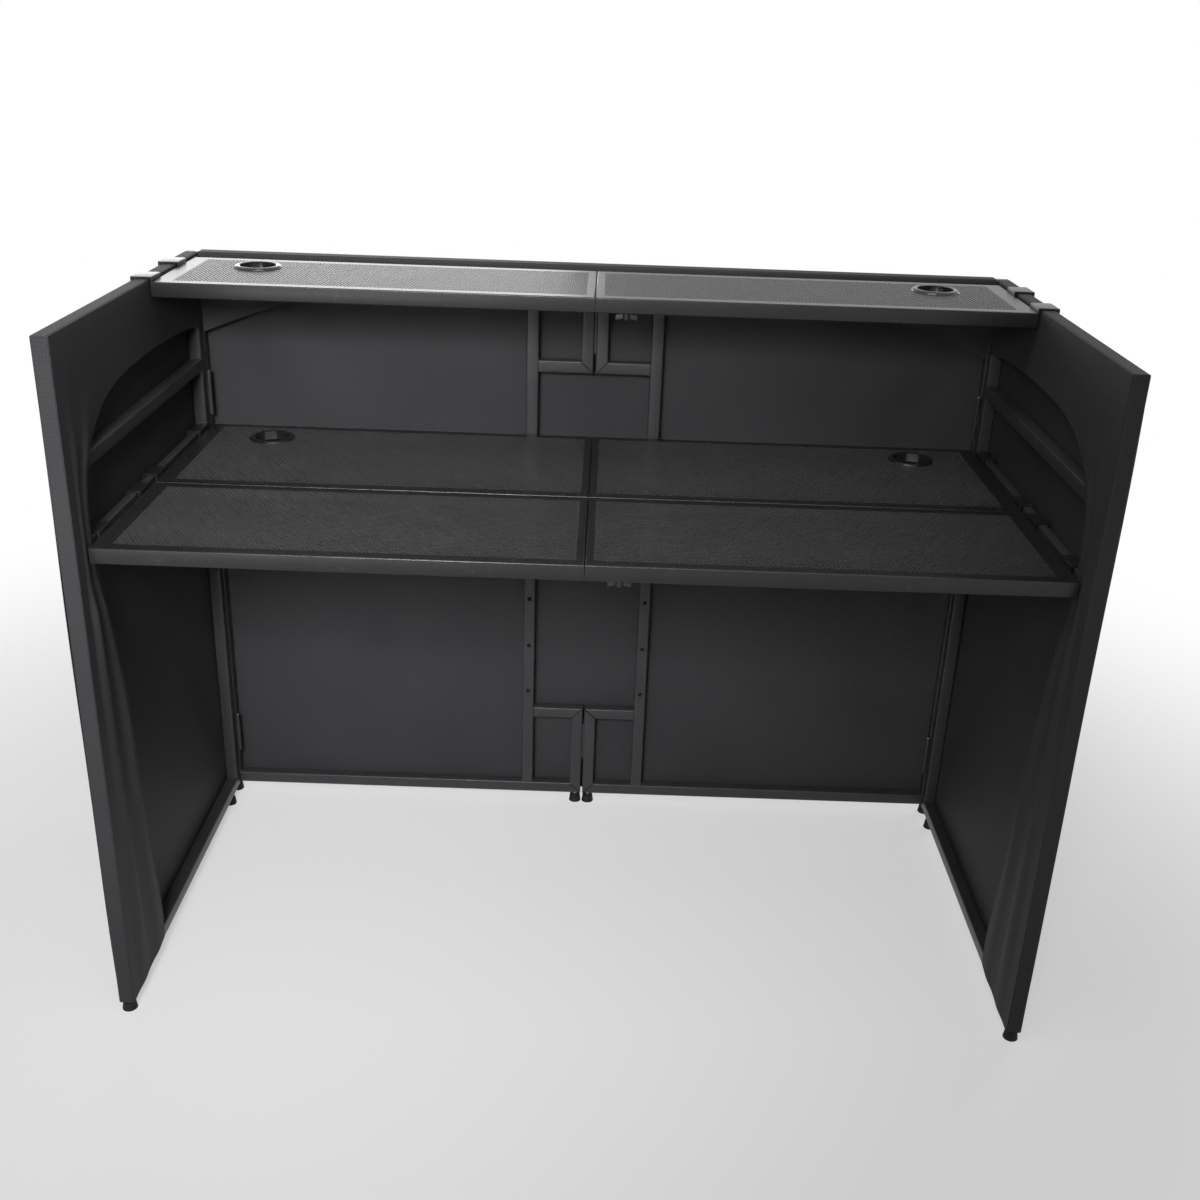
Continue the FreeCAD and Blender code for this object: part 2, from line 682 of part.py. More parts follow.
band_width = "tube + 2 * cloth_gap"
facade_band = box("facade_band", "-%s" % cover_far, "-(tube + cloth_gap)", cover_top,
                  "2 * %s" % cover_far, "tube + cloth_gap + cloth + " + scrim_front_face, "cloth")
wing_band = box("wing_band", "-" + cover_far, "-(frame_depth + cloth_gap + cloth)", cover_top,
                band_width + " + cloth", "frame_depth + cloth - tube", "cloth")
front_band = box("front_band", "-(%s + cloth_gap)" % half_width, "-(frame_depth + cloth_gap + cloth)",
                 "cloth_bottom", band_width, "cloth", panel_height)
bands = group("wing_bands", [wing_band, front_band])
node("scrim_bands", group("band_set", [facade_band, bands, mirrored("wing_bands_at_right", bands)]))


# Inner skirts hang behind the top rails with an arched hem. A flap runs down behind each front stile.
def cloth_sheet(name, role, points, x, y):
    body = new_body(name)
    pad(body, name + "_sheet", outline(body, name + "_outline", role, points), "cloth")
    place(body, x, y, "0")
    return body


# A flap hangs in two folds from the stile to its free edge, held flat beside the decks.
def draped_flap(name, levels):
    body = new_body(name)
    sections = []
    for i, (height, reach, fold) in enumerate(levels):
        on_stile = "(tube + cloth_gap + cloth)"
        fold_end = "(%s + (%s - %s) * 2 / 5)" % (on_stile, reach, on_stile)
        fold_start = "(%s + (%s - %s) * 3 / 5)" % (on_stile, reach, on_stile)
        sections.append(outline(body, "%s_section_%d" % (name, i), "XY_Plane", [
            ("cloth", "0"), ("cloth", on_stile, "-" + fold), ("cloth", fold_end),
            ("cloth", fold_start, "-" + fold), ("cloth", reach), ("0", reach, fold), ("0", fold_start),
            ("0", fold_end, fold), ("0", on_stile), ("0", "0")], height))
    drape = body.newObject("PartDesign::AdditiveLoft", name + "_drape")
    drape.Profile = sections[0]
    drape.Sections = sections[1:]
    drape.Ruled = True
    place(body, "-" + skirt_face, "-" + front_end, "0")
    return body


sheet_top = "(%s + cloth)" % cover_top
front_end = "(frame_depth + cloth_gap + cloth)"
skirt_rear = "-(tube + cloth_gap + cloth)"
flap_edge = "-(%s - flap_width)" % front_end
front_hem = "%s - skirt_drop_front" % sheet_top
strip_end = "(%s - corner_reach)" % skirt_face
strip_hem = "%s - centre_drop" % sheet_top
rear_hem = "%s - skirt_drop" % sheet_top
wing_skirt = cloth_sheet("wing_skirt", "YZ_Plane", [
    (flap_edge, sheet_top), (flap_edge, front_hem, "skirt_arch"), (skirt_rear, rear_hem),
    (skirt_rear, sheet_top)], "-" + skirt_face, "0")
wing_flap = draped_flap("wing_flap", [
    ("cloth_bottom", "flap_width_low", "flap_fold"), ("flap_knee", "flap_width_knee", "flap_fold"),
    (table_z + " - flap_deck_low", "flap_width_deck", "flap_fold_deck"),
    (table_top + " + flap_deck_high", "flap_width_lift", "flap_fold_deck"),
    (front_hem, "flap_width", "flap_fold"), (sheet_top, "flap_width", "flap_fold_top")])
corner_patch = cloth_sheet("corner_patch", "XZ_Plane", [
    ("-" + skirt_face, sheet_top), ("-" + skirt_face, "%s - corner_drop" % sheet_top, "corner_arch"),
    ("-" + strip_end, strip_hem), ("-" + strip_end, sheet_top)], "0", "-(tube + cloth_gap)")
skirts = group("skirts_left", [wing_skirt, wing_flap, corner_patch])
strip = box("facade_strip", "-" + strip_end, skirt_rear, strip_hem, "2 * " + strip_end, "cloth",
            "centre_drop")
node("scrim_inner_skirts", group("skirt_set", [strip, skirts, mirrored("skirts_right", skirts)]))

doc.recompute()
for thing in doc.Objects:
    if "Invalid" in thing.State or "Error" in thing.State:
        raise RuntimeError("%s failed: %s" % (thing.Name, thing.State))
os.makedirs("parts", exist_ok=True)
for piece in nodes:
    shape = piece.Shape
    if shape.isNull() or not shape.isValid():
        raise RuntimeError(piece.Label + " has no valid shape")
    shape.exportStep("parts/%s.step" % piece.Label)
    print(piece.Label, len(shape.Solids), round(shape.Volume, 1))
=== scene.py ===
import math
import bmesh
import bpy
import numpy as np
from mathutils import Matrix, Vector


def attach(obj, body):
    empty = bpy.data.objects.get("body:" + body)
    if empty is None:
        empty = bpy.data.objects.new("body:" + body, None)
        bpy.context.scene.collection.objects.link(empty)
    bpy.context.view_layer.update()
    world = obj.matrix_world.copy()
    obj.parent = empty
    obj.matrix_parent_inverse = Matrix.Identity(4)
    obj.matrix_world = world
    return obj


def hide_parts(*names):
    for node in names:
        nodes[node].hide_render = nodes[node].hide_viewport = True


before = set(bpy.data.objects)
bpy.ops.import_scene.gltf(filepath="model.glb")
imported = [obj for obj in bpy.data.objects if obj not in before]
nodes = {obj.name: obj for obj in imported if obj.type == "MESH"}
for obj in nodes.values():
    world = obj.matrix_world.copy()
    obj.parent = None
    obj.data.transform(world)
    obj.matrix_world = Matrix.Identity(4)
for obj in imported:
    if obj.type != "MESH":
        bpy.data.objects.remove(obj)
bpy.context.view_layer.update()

scene = bpy.context.scene

# Main sizes in millimetres. y = 0 is the audience face of the facade, and the user stands at -y.
booth = {"width": 1450.0, "depth": 700.0, "top": 1095.0, "foot": 22.0, "tube": 22.0, "hingeGap": 4.0,
         "middle": 346.35, "table": 790.0, "shelf": 1093.0, "clothTop": 1096.4, "clothLow": 19.0}
tube = booth["tube"]


def toMetres(points):
    return (np.asarray(points, float) + np.array([0.0, booth["middle"], 0.0])) / 1000.0


def linear(code):
    values = [int(code[i:i + 2], 16) / 255 for i in (0, 2, 4)]
    return tuple(v / 12.92 if v <= 0.04045 else ((v + 0.055) / 1.055) ** 2.4 for v in values) + (1.0,)


# Adds one node: inputs are set or linked by name or number, other words are the node's own settings.
def addNode(tree, kind, inputs=None, **settings):
    item = tree.nodes.new(kind)
    for name, value in settings.items():
        setattr(item, name, value)
    for name, value in (inputs or {}).items():
        if isinstance(value, bpy.types.NodeSocket):
            tree.links.new(value, item.inputs[name])
        else:
            item.inputs[name].default_value = value
    return item


# A noise cell of so many millimetres, and a wave band of so many millimetres, as scales per metre.
def cellScale(millimetres):
    return 1000.0 / millimetres


def bandScale(millimetres):
    return 100.0 * math.pi / millimetres


def newMaterial(name):
    material = bpy.data.materials.new(name)
    material.use_nodes = True
    tree = material.node_tree
    return material, tree, tree.nodes["Principled BSDF"]


# Cells are in millimetres and bump depths in metres. Spans are the part of a noise that is used.
coatGrain = {"toneCell": 70.0, "scuffCell": 16.0, "rubbedSpan": (0.62, 0.78), "peelSpan": (0.3, 0.7),
             "bump": 0.2, "bumpDepth": 0.0002}
knitGrain = {"waleBend": 1.2, "courseBend": 0.8, "shadeSpan": (0.5, 1.8), "bump": 0.3, "bumpDepth": 0.0004}


# Baked powder coat: a fine orange peel that breaks up the gloss, with faint broad tone and rubbed spots.
def powderCoat(name, look):
    material, tree, shader = newMaterial(name)
    place = addNode(tree, "ShaderNodeTexCoord").outputs["Object"]
    tone = addNode(tree, "ShaderNodeTexNoise",
                   {"Vector": place, "Scale": cellScale(coatGrain["toneCell"]), "Detail": 4.0})
    peel = addNode(tree, "ShaderNodeTexNoise",
                   {"Vector": place, "Scale": cellScale(look["peel"]), "Detail": 2.0})
    scuff = addNode(tree, "ShaderNodeTexNoise",
                    {"Vector": place, "Scale": cellScale(coatGrain["scuffCell"]), "Detail": 6.0})
    colour = addNode(tree, "ShaderNodeMix",
                     {0: tone.outputs["Fac"], 6: linear(look["dark"]), 7: linear(look["light"])},
                     data_type="RGBA")
    rubbedLow, rubbedHigh = coatGrain["rubbedSpan"]
    rubbed = addNode(tree, "ShaderNodeMapRange",
                     {"Value": scuff.outputs["Fac"], "From Min": rubbedLow, "From Max": rubbedHigh,
                      "To Min": 0.0, "To Max": look["scuff"]})
    worn = addNode(tree, "ShaderNodeMix",
                   {0: rubbed.outputs["Result"], 6: colour.outputs[2], 7: linear(look["rub"])},
                   data_type="RGBA")
    peelLow, peelHigh = coatGrain["peelSpan"]
    gloss = addNode(tree, "ShaderNodeMapRange",
                    {"Value": peel.outputs["Fac"], "From Min": peelLow, "From Max": peelHigh,
                     "To Min": look["gloss"][0], "To Max": look["gloss"][1]})
    relief = addNode(tree, "ShaderNodeBump",
                     {"Height": peel.outputs["Fac"], "Strength": coatGrain["bump"],
                      "Distance": coatGrain["bumpDepth"]})
    tree.links.new(worn.outputs[2], shader.inputs["Base Color"])
    tree.links.new(gloss.outputs["Result"], shader.inputs["Roughness"])
    tree.links.new(relief.outputs["Normal"], shader.inputs["Normal"])
    shader.inputs["Metallic"].default_value = look["metal"]
    shader.inputs["Specular IOR Level"].default_value = look["shine"]
    return material


# Warp-knitted polyester: upright wales crossed by fine courses, drawn coarser than real so that they show.
def stretchCloth(name, look):
    material, tree, shader = newMaterial(name)
    weave = addNode(tree, "ShaderNodeUVMap", uv_map="weave").outputs["UV"]
    wales = addNode(tree, "ShaderNodeTexWave",
                    {"Vector": weave, "Scale": bandScale(look["wale"]), "Distortion": knitGrain["waleBend"],
                     "Detail": 1.0}, bands_direction="X")
    courses = addNode(tree, "ShaderNodeTexWave",
                      {"Vector": weave, "Scale": bandScale(look["course"]),
                       "Distortion": knitGrain["courseBend"]}, bands_direction="Y")
    fleck = addNode(tree, "ShaderNodeTexNoise",
                    {"Vector": weave, "Scale": cellScale(look["fleck"]), "Detail": 3.0})
    cloud = addNode(tree, "ShaderNodeTexNoise",
                    {"Vector": weave, "Scale": cellScale(look["cloud"]), "Detail": 1.0})
    knit = addNode(tree, "ShaderNodeMath", {0: wales.outputs["Fac"], 1: courses.outputs["Fac"]},
                   operation="MULTIPLY")
    shade = addNode(tree, "ShaderNodeMath", {0: cloud.outputs["Fac"], 1: fleck.outputs["Fac"]},
                    operation="ADD")
    shadeLow, shadeHigh = knitGrain["shadeSpan"]
    amount = addNode(tree, "ShaderNodeMapRange",
                     {"Value": shade.outputs[0], "From Min": shadeLow, "From Max": shadeHigh})
    thread = addNode(tree, "ShaderNodeMath",
                     {0: knit.outputs[0], 1: look["contrast"], 2: amount.outputs["Result"]},
                     operation="MULTIPLY_ADD")
    colour = addNode(tree, "ShaderNodeMix",
                     {0: thread.outputs[0], 6: linear(look["dark"]), 7: linear(look["light"])},
                     data_type="RGBA")
    gloss = addNode(tree, "ShaderNodeMapRange",
                    {"Value": knit.outputs[0], "To Min": look["gloss"][0], "To Max": look["gloss"][1]})
    relief = addNode(tree, "ShaderNodeBump",
                     {"Height": knit.outputs[0], "Strength": knitGrain["bump"],
                      "Distance": knitGrain["bumpDepth"]})
    tree.links.new(colour.outputs[2], shader.inputs["Base Color"])
    tree.links.new(gloss.outputs["Result"], shader.inputs["Roughness"])
    tree.links.new(relief.outputs["Normal"], shader.inputs["Normal"])
    shader.inputs["Specular IOR Level"].default_value = look["shine"]
    return material


coatLook = {"dark": "2c2c2e", "light": "3a3a3c", "rub": "4a4a4c", "peel": 1.4, "scuff": 0.35,
            "gloss": (0.3, 0.46), "metal": 0.0, "shine": 0.25}
# Deck angles: the same black coat painted darker, painted shade on the fascia and plain borders.
deckShadeTone = {"dark": "19191a", "light": "232324", "gloss": (0.24, 0.36), "shine": 0.3}
# Weld seams: near-black, partly a dark joint line and partly painted shade of the mitre gap.
weldShadeLook = {"dark": "0c0c0d", "light": "161617", "gloss": (0.36, 0.5), "shine": 0.2}
# Perforated sheet: the same black coat painted lighter, painted light on the top that is lit from above.
sheetLitLook = {"dark": "343435", "light": "414142", "gloss": (0.28, 0.4)}
rubberLook = {"dark": "111112", "light": "1a1a1b", "peel": 2.2, "gloss": (0.6, 0.8)}
plasticLook = {"dark": "161617", "light": "1f1f20", "peel": 1.8, "gloss": (0.16, 0.26), "shine": 0.5}
zincLook = {"dark": "9a9b9d", "light": "c6c7c9", "rub": "dadbdc", "peel": 2.5, "scuff": 0.4,
            "gloss": (0.2, 0.38), "metal": 1.0, "shine": 0.5}
knitLook = {"dark": "2a2a2c", "light": "38383a", "wale": 6.0, "course": 5.0, "fleck": 3.0, "cloud": 260.0,
            "gloss": (0.6, 0.74), "shine": 0.15, "contrast": 0.5}
frameCoat = powderCoat("blackPowderCoat", coatLook)
deckShadedCoat = powderCoat("blackDeckCoat", dict(coatLook, **deckShadeTone))
weldShadeCoat = powderCoat("blackWeldShadeCoat", dict(coatLook, **weldShadeLook))
sheetLitCoat = powderCoat("blackSheetLitCoat", dict(coatLook, **sheetLitLook))
boltCoat = powderCoat("blackOxideSteel", dict(coatLook, gloss=(0.22, 0.34), metal=0.6))
zincSteel = powderCoat("zincSteel", zincLook)
footRubber = powderCoat("blackRubber", dict(coatLook, **rubberLook))
grommetPlastic = powderCoat("blackAbs", dict(coatLook, **plasticLook))
coverCloth = stretchCloth("blackStretchCloth", knitLook)
print("materials made")


# Flips a closed mesh whose faces point inwards, by the sign of its volume.
def outward(points, faces):
    a, b, c, d = (points[faces[:, k]] - points.mean(0) for k in range(4))
    volume = np.einsum("ij,ij->", a, np.cross(b, c)) + np.einsum("ij,ij->", a, np.cross(c, d))
    return faces if volume > 0 else faces[:, ::-1]


def joinPoints(points, faces):
    kept, back = np.unique(np.round(points, 4), axis=0, return_inverse=True)
    return kept, back.ravel()[faces]


# Several meshes as one: points stacked, faces renumbered.
def stack(meshes):
    starts = np.cumsum([0] + [len(points) for points, faces in meshes])
    points = np.concatenate([points for points, faces in meshes])
    return points, np.concatenate([faces + start for (p, faces), start in zip(meshes, starts)])


def gridFaces(rows, columns):
    index = np.arange(rows * columns).reshape(rows, columns)
    return np.stack([index[:-1, :-1], index[1:, :-1], index[1:, 1:], index[:-1, 1:]], -1).reshape(-1, 4)


def finishPiece(name, mesh, material, body, stands, crease):
    mesh.polygons.foreach_set("use_smooth", np.ones(len(mesh.polygons), bool))
    mesh.set_sharp_from_angle(angle=math.radians(crease))
    mesh.materials.append(material)
    piece = bpy.data.objects.new(name, mesh)
    scene.collection.objects.link(piece)
    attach(piece, body)
    if stands:
        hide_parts(*stands)
    return piece


def buildPiece(name, points, faces, material, body, stands, slot, crease=40, weave=None):
    faces = np.asarray(faces, np.int32)
    mesh = bpy.data.meshes.new(name)
    mesh.vertices.add(len(points))
    mesh.vertices.foreach_set("co", toMetres(points).astype(np.float32).ravel())
    mesh.loops.add(faces.size)
    mesh.loops.foreach_set("vertex_index", faces.ravel())
    mesh.polygons.add(len(faces))
    mesh.polygons.foreach_set("loop_start", np.arange(len(faces), dtype=np.int32) * 4)
    mesh.update(calc_edges=True)
    if weave is not None:
        layer = mesh.uv_layers.new(name="weave")
        layer.data.foreach_set("uv", weave[faces.ravel()].astype(np.float32).ravel())
    mesh.validate()
    return finishPiece(name, mesh, material, body, stands, crease)


# Square tube: a rounded square carried along a straight run, with each end cut square or at 45 degrees.
tubeLook = {"corner": 2.6, "cornerSteps": 4, "holeRadius": 4.25, "holeFirst": 255.0, "holePitch": 100.0,
            "holeCount": 6, "ringSides": 32, "crease": 38, "beadWidth": 1.3, "beadHeight": 0.3,
            "beadInset": 0.8, "beadSteps": 44, "beadTurns": 7, "beadRipple": 3.1, "beadClear": 0.01}
facadeLook = {"post": 112.0, "lowBar": 218.0, "highBar": 903.0, "bar": 99.0}
wingLook = {"upperRail": 890.0, "tableRail": 771.5, "tableRailThick": 14.0}


def tubeLoop(thick):
    corner, steps = tubeLook["corner"], tubeLook["cornerSteps"]
    turns = np.radians(np.linspace(-90, 0, steps + 1)[None, :] + np.array([0, 90, 180, 270])[:, None])
    across = np.array([tube - corner, tube - corner, corner, corner])[:, None] + corner * np.cos(turns)
    deep = np.array([corner, thick - corner, thick - corner, corner])[:, None] + corner * np.sin(turns)
    return across.ravel(), deep.ravel()


def capFaces(start, count):
    near = np.arange(count // 2 - 1)
    return start + np.stack([near, near + 1, count - 2 - near, count - 1 - near], -1)


def plainTube(run, mitreStart, mitreEnd, thick):
    across, deep = tubeLoop(thick)
    count = len(across)
    first = across if mitreStart else np.zeros(count)
    last = run - across if mitreEnd else np.full(count, run)
    points = np.concatenate([np.stack([first, across, deep], -1), np.stack([last, across, deep], -1)])
    side = np.arange(count)
    after = (side + 1) % count
    ring = np.stack([side, after, after + count, side + count], -1)
    return points, np.concatenate([ring, capFaces(0, count)[:, ::-1], capFaces(count, count)])


# The drilled post: each hole has a square patch on both faces whose inner edge is the hole's circle.
def drilledTube(run, holes, thick):
    across, deep = tubeLoop(thick)
    count = len(across)
    corner, sides = tubeLook["corner"], tubeLook["ringSides"]
    half, middle = tube / 2 - corner, tube / 2
    steps = half * np.tan(np.linspace(-math.pi / 4, math.pi / 4, sides // 4 + 1))
    stations = np.sort(np.concatenate([[0.0, run]] + [hole + steps for hole in holes]))
    levels = len(stations)
    grid = np.stack([np.repeat(stations, count), np.tile(across, levels), np.tile(deep, levels)], -1)
    column = np.arange(count)
    column = column[(column != count - 1) & (column != count // 2 - 1)]
    level = (np.arange(levels - 1) * count)[:, None]
    after = (column + 1) % count
    ring = np.stack([level + column, level + after, level + count + after, level + count + column], -1)
    ends = np.concatenate([capFaces(0, count)[:, ::-1], capFaces((levels - 1) * count, count)])
    meshes = [(grid, np.concatenate([ring.reshape(-1, 4), ends]))]
    angle = np.arange(sides) * math.tau / sides
    reach = half / np.maximum(np.abs(np.cos(angle)), np.abs(np.sin(angle)))
    item = np.arange(sides)
    nextItem = (item + 1) % sides
    patch = np.stack([item, nextItem, sides + nextItem, sides + item], -1)
    tunnel = np.stack([sides + item, 3 * sides + item, 3 * sides + nextItem, sides + nextItem], -1)
    for hole in holes:
        rings = [np.stack([hole + r * np.cos(angle), middle + r * np.sin(angle), np.full(sides, w)], -1)
                 for w in (0.0, thick) for r in (reach, tubeLook["holeRadius"])]
        meshes.append((np.concatenate(rings), np.concatenate([patch[:, ::-1], patch + 2 * sides, tunnel])))
    starts = np.concatenate([[0.0], np.array(holes) + half])
    stops = np.concatenate([np.array(holes) - half, [run]])
    for start, stop in zip(starts, stops):
        flat = [(start, corner), (stop, corner), (stop, tube - corner), (start, tube - corner)]
        quad = np.array([(s, u, w) for w in (0.0, thick) for s, u in flat])
        meshes.append((quad, np.array([[3, 2, 1, 0], [4, 5, 6, 7]])))
    return joinPoints(*stack(meshes))


# The weld along a mitre: a low ridge with a ripple, on both faces of the joint.
def mitreBead(thick):
    inset, steps, turns = tubeLook["beadInset"], tubeLook["beadSteps"], tubeLook["beadTurns"]
    along = np.linspace(inset, tube - inset, steps)[:, None]
    turn = np.linspace(0, math.pi, turns)[None, :]
    lift = tubeLook["beadHeight"] * (0.8 + 0.2 * np.sin(along * tubeLook["beadRipple"])) * np.sin(turn)
    side = tubeLook["beadWidth"] / math.sqrt(2) * np.cos(turn)
    clear = tubeLook["beadClear"]
    faces = gridFaces(steps, turns)
    near = np.stack([along + side, along - side, -lift - clear], -1).reshape(-1, 3)
    far = np.stack([along + side, along - side, thick + lift + clear], -1).reshape(-1, 3)
    return stack([(near, faces), (far, faces[:, ::-1])])


# Turns a tube from its own run, across and depth into the frame's flat plane.
def layTube(mesh, x, z, turn):
    points, faces = mesh
    run, across, deep = points.T
    cosine, sine = round(math.cos(math.radians(turn))), round(math.sin(math.radians(turn)))
    return np.stack([x + run * cosine + across * sine, deep, z - run * sine + across * cosine], -1), faces


# A row of tubes: start x and z, run, turn, whether each end is mitred, and thickness.
def layTubes(tubes):
    meshes = [layTube(plainTube(run, first, last, thick), x, z, turn)
              for x, z, run, turn, first, last, thick in tubes]
    welds = [layTube(mitreBead(thick), x, z, turn) for x, z, run, turn, first, last, thick in tubes if first]
    return meshes, welds


def facadeTubes():
    half, gap, foot, top = booth["width"] / 2, booth["hingeGap"] / 2, booth["foot"], booth["top"]
    post, lowBar, highBar = facadeLook["post"], facadeLook["lowBar"], facadeLook["highBar"]
    rail, bar = half - gap, facadeLook["bar"]
    firstHole, pitch = tubeLook["holeFirst"], tubeLook["holePitch"]
    drilled = [top - tube - firstHole - k * pitch for k in range(tubeLook["holeCount"])]
    meshes, welds = layTubes([
        (-half, foot, rail, 0, True, True, tube), (-gap, top, rail, 180, True, True, tube),
        (-half, top, top - foot, 90, True, True, tube), (-gap, foot, lowBar - foot, -90, True, True, tube),
        (-gap, lowBar, bar, 180, True, False, tube), (-gap, highBar, top - highBar, -90, True, True, tube),
        (tube / 2 - post, highBar, bar, 0, False, True, tube)])
    height = top - foot - 2 * tube
    meshes.append(layTube(drilledTube(height, sorted(drilled), tube), -post - tube / 2, top - tube, 90))
    return [[(np.stack([p[:, 0], -p[:, 1], p[:, 2]], -1), f) for p, f in group] for group in (meshes, welds)]


def wingTubes():
    foot, top = booth["foot"], booth["top"]
    rear = tube + booth["hingeGap"]
    run = booth["depth"] - rear
    between = run - 2 * tube
    meshes, welds = layTubes([
        (0.0, foot, run, 0, True, True, tube), (run, top, run, 180, True, True, tube),
        (0.0, top, top - foot, 90, True, True, tube), (run, foot, top - foot, -90, True, True, tube),
        (tube, wingLook["upperRail"], between, 0, False, False, tube),
        (tube, wingLook["tableRail"], between, 0, False, False, wingLook["tableRailThick"])])
    inner = booth["width"] / 2 - tube
    return [[(np.stack([-inner - p[:, 1], -rear - p[:, 0], p[:, 2]], -1), f) for p, f in group]
            for group in (meshes, welds)]


def makeFrames():
    for kind, (tubes, welds) in (("facade", facadeTubes()), ("wing", wingTubes())):
        for side, sign in (("Left", 1), ("Right", -1)):
            node = "%s_frame_%s" % (kind, side.lower())
            # The weld beads take the near-black coat, partly a dark joint and partly painted shade of the
            # mitre gap.
            groups = (("", tubes, frameCoat, [node]), ("Welds", welds, weldShadeCoat, []))
            for name, meshes, coat, stands in groups:
                turned = [(p * np.array([sign, 1, 1]), f) for p, f in meshes]
                points, faces = stack([(p, outward(p, f)) for p, f in turned])
                buildPiece(kind + side + name, points, faces, coat, "booth", stands, "frame_coat",
                           tubeLook["crease"])


makeFrames()
print("tubes made")

# Widths are in millimetres and angles in radians, apart from the crease in degrees.
edgeLook = {"hook": 0.5, "bolt": 0.6, "join": 2e-6, "flatAngle": 0.01, "sharpAngle": 0.6, "segments": 3,
            "profile": 0.6, "crease": 35}


# Hooks and bolts keep the CAD form, with every sharp edge eased so that it takes a highlight.
def easeEdges(node, name, width, material, body):
    shape = bmesh.new()
    shape.from_mesh(nodes[node].data)
    bmesh.ops.remove_doubles(shape, verts=shape.verts, dist=edgeLook["join"])
    bmesh.ops.dissolve_limit(shape, angle_limit=edgeLook["flatAngle"], verts=shape.verts, edges=shape.edges)
    sharp = [e for e in shape.edges
             if len(e.link_faces) == 2 and e.calc_face_angle(0) > edgeLook["sharpAngle"]]
    bmesh.ops.bevel(shape, geom=sharp, offset=width / 1000, segments=edgeLook["segments"],
                    profile=edgeLook["profile"], affect="EDGES", clamp_overlap=True)
    bmesh.ops.triangulate(shape, faces=[f for f in shape.faces if len(f.verts) > 4])
    mesh = bpy.data.meshes.new(name)
    shape.to_mesh(mesh)
    shape.free()
    finishPiece(name, mesh, material, body, [node], edgeLook["crease"])


# Decks: a sheet with a field of staggered holes inside plain borders, on angles with a rolled edge, a web
# and a flange.
deckLook = {"pitch": 6.0, "holeRadius": 2.3, "sheet": 0.8, "height": 24.0, "edge": 1.8, "foot": 1.4,
            "flange": 24.0, "border": 18.0, "endBorder": 27.0, "seamBorder": 12.0, "end": 697.0, "seam": 0.5,
            "lip": 0.6, "edgeSteps": 6, "footSteps": 4, "crease": 50,
            "boltHole": 4.5, "boltSides": 32, "boltInset": 12.75, "boltFrontX": 50.0, "boltRearX": 74.0,
            "grommetFromEnd": 128.0, "grommetFromRear": 76.0, "grommetClear": 35.5}


def holeField(x0, x1, y0, y1, z, grommetSpot):
    pitch = deckLook["pitch"]
    rowStep = pitch * math.sqrt(3) / 2
    count = int((x1 - x0) / pitch - 0.5)
    rows = int((y1 - y0) / rowStep)
    left = (x0 + x1) / 2 - (count + 0.5) * pitch / 2
    front = (y0 + y1) / 2 - rows * rowStep / 2
    columns = 2 * count + 2
    gx, gy = np.meshgrid(left + np.arange(columns) * pitch / 2, front + np.arange(rows + 1) * rowStep)
    points = [np.stack([gx.ravel(), gy.ravel(), np.full(gx.size, z)], -1)]
    row, cell = (a.ravel() for a in np.meshgrid(np.arange(rows), np.arange(count), indexing="ij"))
    start = 2 * cell + row % 2
    middleX = left + (start + 1) * pitch / 2
    middleY = front + (row + 0.5) * rowStep
    if grommetSpot:
        keep = np.hypot(middleX - grommetSpot[0], middleY - grommetSpot[1]) > deckLook["grommetClear"]
        row, start, middleX, middleY = row[keep], start[keep], middleX[keep], middleY[keep]
    low, high = row * columns + start, (row + 1) * columns + start
    outer = np.stack([low, low + 1, low + 2, high + 2, high + 1, high], -1)
    angles = np.radians([210, 270, 330, 30, 90, 150])
    ringX = middleX[:, None] + deckLook["holeRadius"] * np.cos(angles)
    ringY = middleY[:, None] + deckLook["holeRadius"] * np.sin(angles)
    for level in (z, z - deckLook["sheet"]):
        points.append(np.stack([ringX.ravel(), ringY.ravel(), np.full(ringX.size, level)], -1))
    inner = gx.size + np.arange(ringX.size).reshape(-1, 6)
    lower = inner + ringX.size
    shift = np.roll(np.arange(6), -1)
    faces = [np.stack([outer, outer[:, shift], inner[:, shift], inner], -1).reshape(-1, 4),
             np.stack([inner, inner[:, shift], lower[:, shift], lower], -1).reshape(-1, 4)]
    lines = np.arange(rows)
    corner = lines * columns + np.where(lines % 2 == 0, columns - 2, 0)
    faces.append(np.stack([corner, corner + 1, corner + columns + 1, corner + columns], -1))
    field = (left, front, left + (columns - 1) * pitch / 2, front + rows * rowStep)
    return np.concatenate(points), np.concatenate(faces), field


def flatStrip(x0, x1, y0, y1, z):
    return np.array([(x0, y0, z), (x0, y1, z), (x1, y1, z), (x1, y0, z)]), np.array([(0, 1, 2, 3)])


# A flange with a bolt hole: plain strips beside a square patch whose inner edge is the hole's circle.
def drilledStrip(x0, x1, y0, y1, z, spot):
    half = min(spot[1] - y0, y1 - spot[1])
    sides = deckLook["boltSides"]
    angle = np.arange(sides) * math.tau / sides
    reach = half / np.maximum(np.abs(np.cos(angle)), np.abs(np.sin(angle)))
    rings = [np.stack([spot[0] + r * np.cos(angle), spot[1] + r * np.sin(angle), np.full(sides, z)], -1)
             for r in (reach, deckLook["boltHole"])]
    item = np.arange(sides)
    after = (item + 1) % sides
    patch = np.stack([item, sides + item, sides + after, after], -1)
    return stack([(np.concatenate(rings), patch), flatStrip(x0, spot[0] - half, y0, y1, z),
                  flatStrip(spot[0] + half, x1, y0, y1, z)])


# Walls between rectangles, each given by its corners and its height.
def ringWalls(rings):
    loops = np.array([[(a, b, z), (c, b, z), (c, d, z), (a, d, z)] for (a, b, c, d), z in rings])
    item = np.arange(4 * (len(rings) - 1))
    turn = item - item % 4 + (item + 1) % 4
    return loops.reshape(-1, 3), np.stack([item, item + 4, turn + 4, turn], -1)


